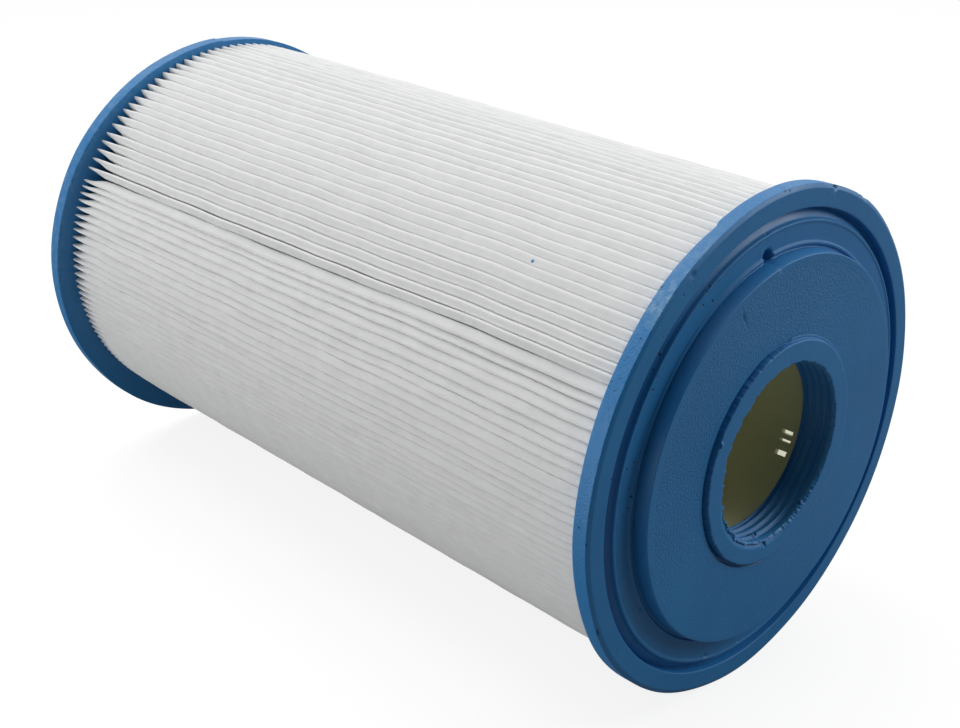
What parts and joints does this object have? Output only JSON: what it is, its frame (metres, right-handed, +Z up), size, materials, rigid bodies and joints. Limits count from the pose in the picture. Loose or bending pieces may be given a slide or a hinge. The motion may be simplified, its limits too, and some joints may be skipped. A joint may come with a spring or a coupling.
{
  "type": "filter cartridge",
  "caption": "Round pleated filter cartridge with two cast end caps and a coarse-threaded socket in one of them.",
  "frame": {"origin": "centre of the bounding box: on the cartridge's axis, midway between the hub face and the closed end's face", "axes": "+Y along the axis towards the closed end, so the threaded end faces -Y; +Z up as it lies; the media seam is up on the -X side"},
  "size_m": [0.1516, 0.2662, 0.1516],
  "materials": {
    "cast_urethane": "satin cast polyurethane",
    "spunbonded_polyester": "matt non-woven fibre",
    "core_plastic": "smooth moulded plastic",
    "hot_melt": "milky adhesive"
  },
  "bodies": {
    "root": {"threaded_end_cap": "cast_urethane", "closed_end_cap": "cast_urethane", "centre_core": "core_plastic", "pleated_media": "spunbonded_polyester", "media_seam_bead": "hot_melt"}
  },
  "joints": []
}
